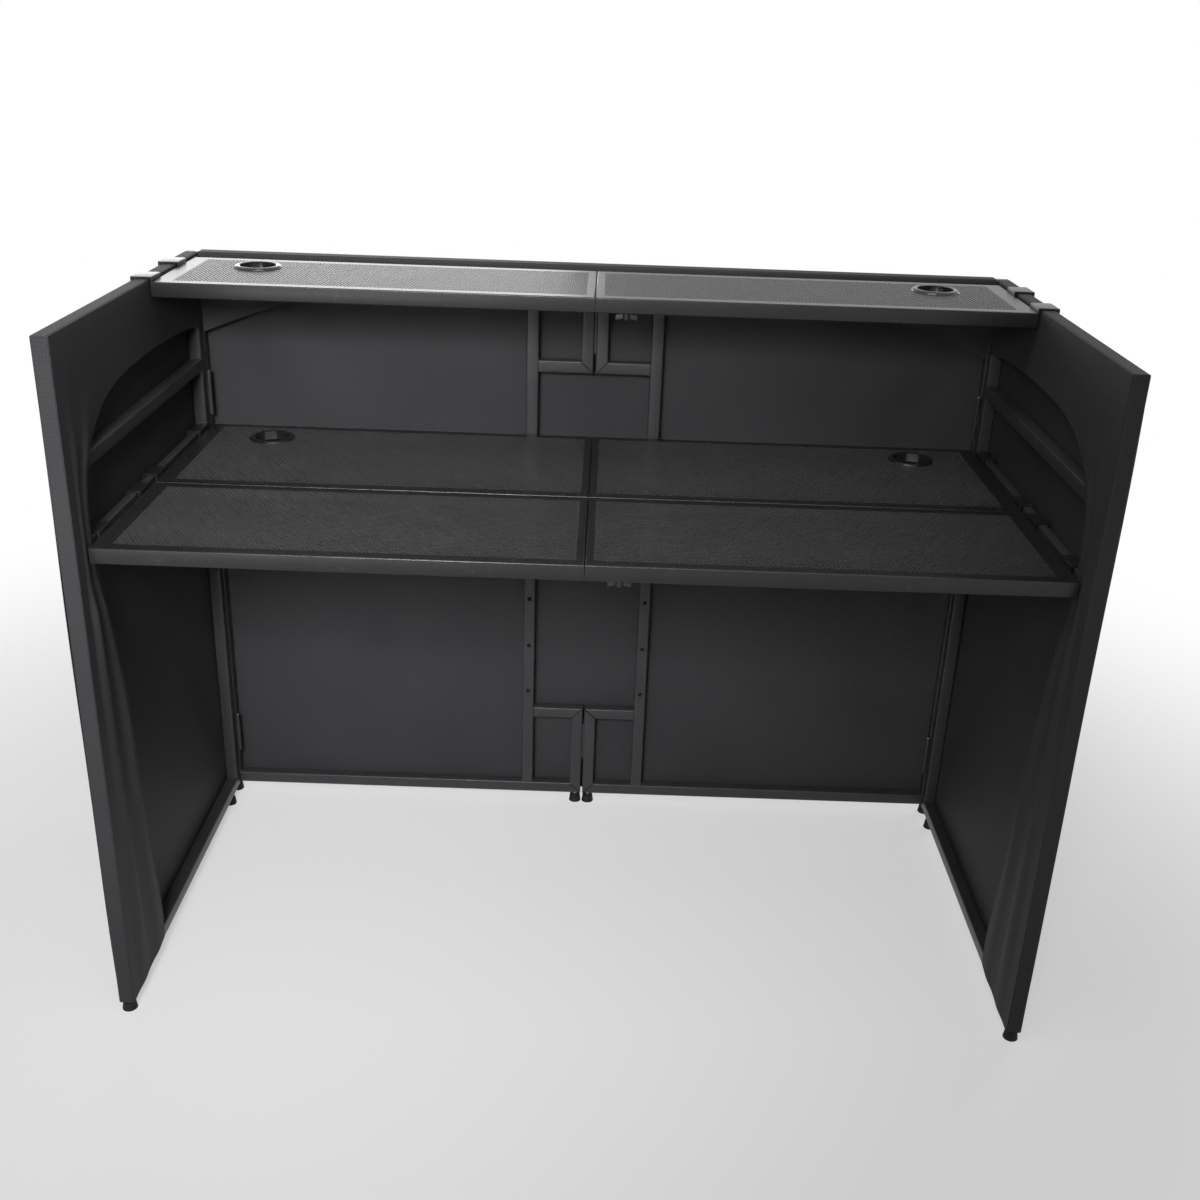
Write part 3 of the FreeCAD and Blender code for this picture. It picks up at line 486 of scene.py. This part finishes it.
# From the sheet's border over the rolled edge and down the web to the foot: inset and height of each ring.
def deckBends(zTop, zLow):
    edge, foot = deckLook["edge"], deckLook["foot"]
    over = np.radians(np.linspace(90, 0, deckLook["edgeSteps"]))
    under = np.radians(np.linspace(0, 90, deckLook["footSteps"]))
    bends = [(edge + deckLook["lip"], zTop)]
    bends += [(edge * (1 - math.cos(t)), zTop - edge + edge * math.sin(t)) for t in over]
    bends += [(foot * (1 - math.cos(t)), zLow + foot - foot * math.sin(t)) for t in under]
    return bends


def perforatedDeck(name, node, body, x0, x1, y0, y1, zTop, grommetSpot, boltSpots):
    zLow = zTop - deckLook["height"]
    foot, flange, border = deckLook["foot"], deckLook["flange"], deckLook["border"]
    before, after = deckLook["endBorder"], deckLook["seamBorder"]
    if x0 > 0:
        before, after = after, before
    inside = (x0 + before, x1 - after, y0 + border, y1 - border)
    holePoints, holeFaces, field = holeField(*inside, zTop, grommetSpot)
    rings = [(field, zTop)]
    rings += [((x0 + i, y0 + i, x1 - i, y1 - i), z) for i, z in deckBends(zTop, zLow)]
    crease = deckLook["crease"]
    # The sheet takes the lighter painted-light coat, and the angles below it take the darker painted-shade
    # coat.
    buildPiece(name + "Sheet", holePoints, holeFaces, sheetLitCoat, body, [node], "deck_coat", crease)
    meshes = [ringWalls(rings)]
    for low, high in ((y0 + foot, y0 + flange), (y1 - flange, y1 - foot)):
        spots = [spot for spot in boltSpots if low < spot[1] < high]
        strip = (x0 + foot, x1 - foot, low, high, zLow)
        meshes.append(drilledStrip(*strip, spots[0]) if spots else flatStrip(*strip))
    for low, high in ((x0 + foot, x0 + flange), (x1 - flange, x1 - foot)):
        meshes.append(flatStrip(low, high, y0 + flange, y1 - flange, zLow))
    buildPiece(name + "Angles", *stack(meshes), deckShadedCoat, body, [], "deck_coat", crease)


deckRows = {
    "top": {"body": "top_shelf", "front": -296.0, "depth": 240.0, "top": booth["shelf"], "grommet": True},
    "rear": {"body": "rear_table", "front": -373.0, "depth": 338.0, "top": booth["table"], "grommet": True},
    "front": {"body": "front_table", "front": -668.0, "depth": 292.0, "top": booth["table"],
              "grommet": False},
}


def makeDecks():
    end, seam, inset = deckLook["end"], deckLook["seam"], deckLook["boltInset"]
    spotX = end - deckLook["grommetFromEnd"]
    for rowName, row in deckRows.items():
        y0, y1 = row["front"], row["front"] + row["depth"]
        bolts = [(deckLook["boltFrontX"], y0 + inset), (deckLook["boltRearX"], y1 - inset)]
        for side, sign, x0, x1 in (("left", -1, -end, -seam), ("right", 1, seam, end)):
            spot = (sign * spotX, y1 - deckLook["grommetFromRear"]) if row["grommet"] else None
            perforatedDeck("%sDeck%s" % (rowName, side.capitalize()), "%s_deck_%s" % (rowName, side),
                           row["body"], x0, x1, y0, y1, row["top"], spot, bolts if sign > 0 else [])
        # The hooks share the darker painted-shade deck coat.
        easeEdges(rowName + "_hooks", rowName + "Hooks", edgeLook["hook"], deckShadedCoat, row["body"])
        for boltEnd in ("front", "rear"):
            node, name = "%s_wing_bolt_%s" % (rowName, boltEnd), rowName + "WingBolt" + boltEnd.capitalize()
            body = "%s_bolt_%s" % (rowName, boltEnd)
            easeEdges(node, name, edgeLook["bolt"], boltCoat, body)


makeDecks()
print("decks made")


# Blind rivets: a domed head inside the end of the deck, and a shank through the end angle and the hook.
rivetLook = {"radius": 2.0, "head": 3.6, "rise": 1.4, "grip": 4.3, "tip": 0.05, "wall": 1.5, "spacing": 26.0,
             "hookWidth": 45.0, "sides": 20, "domeSteps": 5,
             "hooks": {"top": (5.5, 145.5), "rear": (15.5, 260.5), "front": (46.0, 225.5)}}


def rivetMesh():
    rise, head, tip = rivetLook["rise"], rivetLook["head"], rivetLook["tip"]
    radius, grip = rivetLook["radius"], rivetLook["grip"]
    turns = np.linspace(0, 0.5 * math.pi, rivetLook["domeSteps"])
    profile = [(-rise * math.cos(a), max(head * math.sin(a), tip)) for a in turns]
    profile += [(0.0, radius), (grip, radius), (grip, tip)]
    along, around = np.array(profile).T
    angle = np.linspace(0, math.tau, rivetLook["sides"] + 1)
    points = np.stack([np.repeat(along[:, None], len(angle), 1), around[:, None] * np.cos(angle),
                       around[:, None] * np.sin(angle)], -1)
    return joinPoints(points.reshape(-1, 3), gridFaces(len(profile), len(angle)))


def makeRivets():
    points, faces = rivetMesh()
    inside = deckLook["end"] - rivetLook["wall"]
    for rowName, row in deckRows.items():
        level = row["top"] - deckLook["height"] / 2
        meshes = []
        for hookFront in rivetLook["hooks"][rowName]:
            for half in (-0.5, 0.5):
                y = row["front"] + hookFront + rivetLook["hookWidth"] / 2 + half * rivetLook["spacing"]
                for sign in (-1, 1):
                    placed = points * np.array([sign, 1, 1]) + np.array([sign * inside, y, level])
                    meshes.append((placed, outward(placed, faces)))
        buildPiece(rowName + "Rivets", *stack(meshes), zincSteel, row["body"], [], "zinc_steel")


makeRivets()
print("rivets made")


# Cloth: a grid of points, a second layer behind it and a rim. The weave map follows the cloth in metres.
# In a drape's free edge each stop is a place y, a height z and the tube that the cloth hangs from there.
clothLook = {
    "thick": 0.8, "crease": 60, "lap": 7.0, "turn": 4.0, "turnSteps": 5, "flatSteps": 6, "fallSteps": 44,
    "bandFall": 7.0, "bandExtra": 3.0, "bandRear": 21.0, "bandSide": 1.5, "bandFront": 1.4, "mitreClear": 2.0,
    "railSteps": 110, "stileSteps": 190,
    "wrapExtra": 10.1, "wrapEnd": 701.0, "wrapFace": 8.8, "wrapSteps": 200,
    "rippleHeight": 1.4, "pullReach": 190.0, "pullFolds": 13,
    "onTube": 22.5, "drapeFace": 701.4, "drapeFront": 0.6, "stopSteps": 12, "stopBlur": 0.6, "blurSteps": 9,
    "drapeSteps": 56, "foldShare": 0.46, "secondFold": 0.54,
    "edge": [(-23, 966, "rail"), (-115, 982, "rail"), (-278, 990, "rail"), (-412, 989, "rail"),
             (-500, 979, "rail"), (-568, 953, "corner"), (-608, 917, "stile"), (-632, 876, "stile"),
             (-640, 810, "stile"), (-634, 745, "stile"), (-616, 690, "stile"), (-582, 571, "stile"),
             (-566, 470, "stile"), (-566, 307, "stile"), (-550, 183, "stile"), (-530, 60, "stile"),
             (-545, 19, "stile")],
    "foldDepth": [(19, 1.5), (140, 4.5), (380, 7.0), (690, 6.0), (735, 2.0), (885, 2.0), (925, 3.5),
                  (1000, 1.0), (1096, 0.4)],
}
coverLook = {"side": 0.9, "face": 8.2, "corner": 9.0, "front": 3.0, "top": 2.6, "lift": 0.15, "sideSteps": 60,
             "cornerSteps": 8, "faceSteps": 150, "levels": 90}
patchLook = {"hem": 34.0, "drop": 106.0, "start": 330.7, "reach": 372.0, "power": 1.4,
             "foldSpan": (330.0, 560.0), "fallSpan": (28.0, 110.0)}


def smoothStep(value, low, high):
    share = np.clip((value - low) / (high - low), 0, 1)
    return share * share * (3 - 2 * share)


# The second layer lies behind the grid, on the side away from the direction that the cloth faces.
def clothPiece(name, grid, facing, stands):
    rows, columns = grid.shape[:2]
    count = rows * columns
    normal = np.cross(np.gradient(grid, axis=0), np.gradient(grid, axis=1))
    normal /= np.maximum(np.linalg.norm(normal, axis=2, keepdims=True), 1e-9)
    if (normal.reshape(-1, 3).mean(0) * np.array(facing)).sum() < 0:
        normal = -normal
    points = np.concatenate([grid.reshape(-1, 3), (grid - normal * clothLook["thick"]).reshape(-1, 3)])
    front = gridFaces(rows, columns)
    index = np.arange(count).reshape(rows, columns)
    loop = np.concatenate([index[0, :], index[1:, -1], index[-1, -2::-1], index[-2:0:-1, 0]])
    after = np.roll(loop, -1)
    rim = np.stack([loop, after, after + count, loop + count], -1)
    faces = outward(points, np.concatenate([front, front[:, ::-1] + count, rim]))
    stepA = np.linalg.norm(np.diff(grid, axis=0), axis=2)
    stepB = np.linalg.norm(np.diff(grid, axis=1), axis=2)
    u = np.concatenate([np.zeros((1, columns)), np.cumsum(stepA, axis=0)])
    v = np.concatenate([np.zeros((rows, 1)), np.cumsum(stepB, axis=1)], axis=1)
    weave = np.tile(np.stack([u.ravel(), v.ravel()], -1), (2, 1)) / 1000.0
    piece = buildPiece(name, points, faces, coverCloth, "booth", stands, "stretch_cloth",
                       clothLook["crease"], weave)


# The free edge of a drape: places, heights and tubes of its stops.
def drapeStops():
    y, z = np.array([stop[:2] for stop in clothLook["edge"]], float).T
    return y, z, np.array([stop[2] for stop in clothLook["edge"]])


def wrapRuns():
    return np.linspace(-clothLook["wrapEnd"], clothLook["wrapEnd"], clothLook["wrapSteps"])


# The outer cover is one sheet pulled round three sides: slow ripples stand off it between its held edges,
# and pulled folds fan out from the four ends of the two upright corners.
def outerCover():
    side, face, corner = booth["width"] / 2 + coverLook["side"], coverLook["face"], coverLook["corner"]
    sideSteps, cornerSteps = coverLook["sideSteps"], coverLook["cornerSteps"]
    path = [(-side, y) for y in np.linspace(coverLook["front"] - booth["depth"], face - corner, sideSteps)]
    path += [(-side + corner - corner * math.cos(a), face - corner + corner * math.sin(a))
             for a in np.radians(np.linspace(10, 80, cornerSteps))]
    path += [(x, face) for x in np.linspace(-side + corner, side - corner, coverLook["faceSteps"])]
    path += [(-x, y) for x, y in reversed(path[:sideSteps + cornerSteps])]
    path = np.array(path)
    step = np.r_[0, np.cumsum(np.hypot(*np.diff(path, axis=0).T))]
    tangent = np.gradient(path, axis=0)
    away = np.stack([-tangent[:, 1], tangent[:, 0]], -1)
    away /= np.linalg.norm(away, axis=1, keepdims=True)
    low, top = booth["clothLow"], booth["top"] - coverLook["top"]
    s, z = np.meshgrid(step, np.linspace(low, top, coverLook["levels"]), indexing="ij")
    free = np.sin(math.pi * (z - low) / (top - low)) ** 0.7
    ripple = 0.7 * np.sin(s / 61.0 + 2.2 * np.sin(z / 270.0)) + 0.5 * np.sin(s / 149.0 - z / 210.0 + 1.0)
    ripple += 0.35 * np.sin(s / 33.0 + z / 95.0)
    upright = sideSteps + cornerSteps // 2 - 1
    for mark in (step[upright], step[-upright - 1]):
        aside = np.abs(s - mark)
        free = free * smoothStep(aside, 6.0, 60.0)
        for level in (low, top):
            fall = np.abs(z - level)
            reach = np.hypot(aside, fall) / clothLook["pullReach"]
            ripple += reach * np.exp(1 - reach) * np.sin(clothLook["pullFolds"] * np.arctan2(fall, aside))
    lift = coverLook["lift"] + (ripple + 2.0) * clothLook["rippleHeight"] * free
    x, y = (path[:, None, k] + away[:, None, k] * lift for k in (0, 1))
    clothPiece("outerCover", np.stack([x, y, z], -1), (0, 1, 0), ["scrim_front", "scrim_left", "scrim_right"])


# A wrap goes round a tube: a lap, a rounded turn, a flat, a second turn, then a hanging part down to its hem.
# fold(place, fall) is how far the hanging part stands off. toPoint carries place, side and height to x, y, z.
def wrapGrid(places, across, hem, fold, toPoint):
    radius, flatSteps = clothLook["turn"], clothLook["flatSteps"]
    quarter = np.radians(np.linspace(0, 90, clothLook["turnSteps"]))
    lead = [(0.0, -clothLook["lap"]), (0.0, -radius - 0.5)]
    lead += [(radius - radius * math.cos(a), -radius + radius * math.sin(a)) for a in quarter]
    lead += [(across * k / flatSteps, 0.0) for k in range(1, flatSteps)]
    lead += [(across - radius + radius * math.sin(a), -radius + radius * math.cos(a)) for a in quarter]
    leadSide, leadHeight = (np.broadcast_to(part, (len(places), len(lead))) for part in np.array(lead).T)
    share = np.linspace(0, 1, clothLook["fallSteps"])[1:]
    fall = radius + (hem - radius)[:, None] * share
    place = np.broadcast_to(places[:, None], fall.shape)
    side = np.concatenate([leadSide, across + fold(place, fall)], 1)
    height = np.concatenate([leadHeight, -fall], 1)
    return toPoint(np.broadcast_to(places[:, None], side.shape), side, height)


def bandHem(places):
    return np.full(len(places), clothLook["bandFall"])


def flatFold(place, fall):
    return 0.0 * fall


def patchHem(x):
    share = np.clip((np.abs(x) - patchLook["start"]) / patchLook["reach"], 0, 1)
    return patchLook["hem"] + patchLook["drop"] * share ** patchLook["power"]


def patchFold(x, fall):
    swell = 2.6 + 2.0 * np.sin(x / 31.0) + 0.8 * np.sin(x / 13.0 + 0.5)
    return smoothStep(np.abs(x), *patchLook["foldSpan"]) * smoothStep(fall, *patchLook["fallSpan"]) * swell


# The drape inside a wing hangs from the top rail and the front stile, with two folds down beside the stile.
def wingDrape(sign):
    y, z, tubes = drapeStops()
    front, high = -booth["depth"] - clothLook["drapeFront"], booth["clothTop"] - clothLook["thick"]
    heldY = np.where(tubes == "rail", y, front)
    heldZ = np.where(tubes == "stile", z, high)
    last = len(y) - 1
    stops = np.arange(len(y))
    along = np.linspace(0, last, clothLook["stopSteps"] * last + 1)
    spread = np.linspace(-clothLook["stopBlur"], clothLook["stopBlur"], clothLook["blurSteps"])
    blur = np.clip(along[:, None] + spread, 0, last)
    freeY, freeZ = np.interp(blur, stops, y).mean(1), np.interp(blur, stops, z).mean(1)
    heldY, heldZ = np.interp(along, stops, heldY), np.interp(along, stops, heldZ)
    share = np.linspace(0, 1, clothLook["drapeSteps"])
    gridY = heldY[:, None] + (freeY - heldY)[:, None] * share
    gridZ = heldZ[:, None] + (freeZ - heldZ)[:, None] * share
    reach = np.hypot(freeY - heldY, freeZ - heldZ)[:, None]
    loose = np.clip((share * reach - clothLook["onTube"]) / (reach - clothLook["onTube"]), 0, 1)
    wide = clothLook["foldShare"]
    first = np.sin(math.pi * np.clip(loose / wide, 0, 1)) ** 2
    second = np.sin(math.pi * np.clip((loose - clothLook["secondFold"]) / wide, 0, 1)) ** 2
    sway = 0.85 + 0.15 * np.sin(gridZ / 90.0)
    depth = np.interp(gridZ, *np.array(clothLook["foldDepth"]).T)
    onStile = smoothStep(along, 4.0, 6.5)[:, None]
    swell = 0.6 * (1 - onStile) * (1.1 + np.sin(gridY / 71.0) + 0.4 * np.sin(gridY / 37.0)) * loose
    fold = depth * onStile * (first * sway + second * (1.7 - sway)) + swell
    return np.stack([sign * (clothLook["drapeFace"] - fold), gridY, gridZ], -1)


# A band runs along a wing's top rail and, past a mitred corner, down its front stile.
def wingBand(sign):
    side, front = booth["width"] / 2 + clothLook["bandSide"], -booth["depth"] - clothLook["bandFront"]
    high, width = booth["clothTop"], tube + clothLook["bandExtra"]
    clear = clothLook["bandFall"] + clothLook["mitreClear"]
    runs = np.linspace(-clothLook["bandRear"], front + clear, clothLook["railSteps"])
    levels = np.linspace(high - clear, booth["clothLow"], clothLook["stileSteps"])
    rail = wrapGrid(runs, width, bandHem(runs), flatFold,
                    lambda y, across, height: np.stack([sign * (side - across), y, high + height], -1))
    stile = wrapGrid(levels, width, bandHem(levels), flatFold,
                     lambda z, across, height: np.stack([sign * (side - across), front - height, z], -1))
    mitre = np.stack([rail[0, :, 0], stile[0, :, 1], rail[0, :, 2]], -1)
    return np.concatenate([rail, mitre[None], stile])


def facadeWrap():
    runs, high, face = wrapRuns(), booth["clothTop"], clothLook["wrapFace"]
    return wrapGrid(runs, tube + clothLook["wrapExtra"], patchHem(runs), patchFold,
                    lambda x, across, height: np.stack([x, face - across, high + height], -1))


def makeCover():
    outerCover()
    for name, sign in (("Left", -1), ("Right", 1)):
        clothPiece("wingBand" + name, wingBand(sign), (0, -1, 1), [])
        clothPiece("wingDrape" + name, wingDrape(sign), (-sign, 0, 0), [])
    clothPiece("facadeWrap", facadeWrap(), (0, -1, 1), ["scrim_bands", "scrim_inner_skirts"])


makeCover()
print("cover made")

# Nodes whose CAD form stays get the finished materials.
plainNodes = {
    "centre_hinge_leaves_left": frameCoat, "centre_hinge_leaves_right": frameCoat,
    "corner_hinge_facade_leaves": frameCoat, "corner_hinge_wing_leaves": frameCoat,
    "centre_hinge_pins": zincSteel, "corner_hinge_pins": zincSteel, "foot_studs": zincSteel,
    "rubber_feet": footRubber, "top_grommets": grommetPlastic, "rear_grommets": grommetPlastic,
    # The tongues share the darker painted-shade deck coat.
    "top_tongues": deckShadedCoat, "rear_tongues": deckShadedCoat, "front_tongues": deckShadedCoat,
}
for name, material in plainNodes.items():
    mesh = nodes[name].data
    mesh.materials.clear()
    mesh.materials.append(material)
print("plain nodes finished")


# One for rays that show the background: straight to the camera, or by way of gloss or glass.
def seenRays(tree):
    path = addNode(tree, "ShaderNodeLightPath").outputs
    shown = addNode(tree, "ShaderNodeMath", {0: path["Is Camera Ray"], 1: path["Is Glossy Ray"]},
                    operation="MAXIMUM").outputs[0]
    return addNode(tree, "ShaderNodeMath", {0: shown, 1: path["Is Transmission Ray"]},
                   operation="MAXIMUM").outputs[0]


# The floor is matt and pale, and fades to plain white well away from the booth.
floorLook = {"half": 30.0, "colour": "c4c4c4", "fade": (0.9, 2.4), "glow": 0.5, "gloss": 0.9, "shine": 0.1}


def makeFloor():
    mesh = bpy.data.meshes.new("floor")
    far = floorLook["half"]
    mesh.from_pydata([(-far, -far, 0), (far, -far, 0), (far, far, 0), (-far, far, 0)], [], [(0, 1, 2, 3)])
    material, tree, shader = newMaterial("paleFloor")
    shader.inputs["Base Color"].default_value = linear(floorLook["colour"])
    shader.inputs["Roughness"].default_value = floorLook["gloss"]
    shader.inputs["Specular IOR Level"].default_value = floorLook["shine"]
    place = addNode(tree, "ShaderNodeTexCoord").outputs["Object"]
    away = addNode(tree, "ShaderNodeVectorMath", {0: place}, operation="LENGTH").outputs["Value"]
    near, plain = floorLook["fade"]
    fade = addNode(tree, "ShaderNodeMapRange",
                   {"Value": away, "From Min": near, "From Max": plain, "To Min": floorLook["glow"]},
                   interpolation_type="SMOOTHSTEP").outputs["Result"]
    seen = addNode(tree, "ShaderNodeMath", {0: fade, 1: seenRays(tree)}, operation="MULTIPLY").outputs[0]
    white = addNode(tree, "ShaderNodeEmission").outputs["Emission"]
    blend = addNode(tree, "ShaderNodeMixShader", {0: seen, 1: shader.outputs["BSDF"], 2: white})
    tree.links.new(blend.outputs["Shader"], tree.nodes["Material Output"].inputs["Surface"])
    mesh.materials.append(material)
    floor = bpy.data.objects.new("floor", mesh)
    scene.collection.objects.link(floor)


def makeWorld(fill):
    world = bpy.data.worlds.new("studio")
    scene.world = world
    world.use_nodes = True
    tree = world.node_tree
    background = tree.nodes["Background"]
    background.inputs["Color"].default_value = (1, 1, 1, 1)
    strength = addNode(tree, "ShaderNodeMapRange", {"Value": seenRays(tree), "To Min": fill, "To Max": 1.0})
    tree.links.new(strength.outputs["Result"], background.inputs["Strength"])


def areaLight(name, place, target, size, power, spread=180.0):
    data = bpy.data.lights.new(name, "AREA")
    data.shape = "RECTANGLE"
    data.size, data.size_y = size
    data.energy = power
    data.spread = math.radians(spread)
    light = bpy.data.objects.new(name, data)
    light.location = place
    light.rotation_mode = "QUATERNION"
    light.rotation_quaternion = (Vector(target) - Vector(place)).to_track_quat("-Z", "Y")
    light.visible_camera = False
    scene.collection.objects.link(light)


makeFloor()
makeWorld(0.08)
areaLight("cameraFlash", (-0.45, -2.4, 1.9), (-0.5, 0.2, 0.55), (0.6, 0.5), 12.5, 60.0)
areaLight("ceilingPanel", (-0.2, -0.9, 3.3), (0.0, -0.2, 0.8), (1.3, 1.4), 26)
areaLight("leftPanel", (-1.15, -3.3, 0.42), (-0.7, 0.0, 0.8), (1.1, 0.6), 1.7, 70.0)
areaLight("rearPanel", (-1.2, 3.6, 1.6), (-0.2, 0.0, 1.1), (2.2, 1.2), 24)
areaLight("audiencePanel", (2.5, 2.3, 0.75), (-0.2, 0.36, 0.55), (1.0, 1.0), 42)

# Fitted to the photograph's edges: focal length and image width in pixels, place in millimetres.
cameraLook = {"focal": 1348.3, "image": 1200.0, "sensor": 36.0, "place": (19.1, -2424.4, 1498.3),
              "tilt": 0.40855, "roll": 0.03575, "pan": -0.00245}
cameraData = bpy.data.cameras.new("photoCamera")
cameraData.sensor_width = cameraLook["sensor"]
cameraData.lens = cameraLook["focal"] / cameraLook["image"] * cameraData.sensor_width
camera = bpy.data.objects.new("photoCamera", cameraData)
scene.collection.objects.link(camera)
pan = Matrix.Rotation(cameraLook["pan"], 4, "Z")
tilt = Matrix.Rotation(math.pi / 2 - cameraLook["tilt"], 4, "X")
roll = Matrix.Rotation(cameraLook["roll"], 4, "Z")
camera.matrix_world = Matrix.Translation(toMetres(cameraLook["place"])) @ pan @ tilt @ roll
scene.camera = camera
scene.view_settings.view_transform = "Standard"

print("scene made")
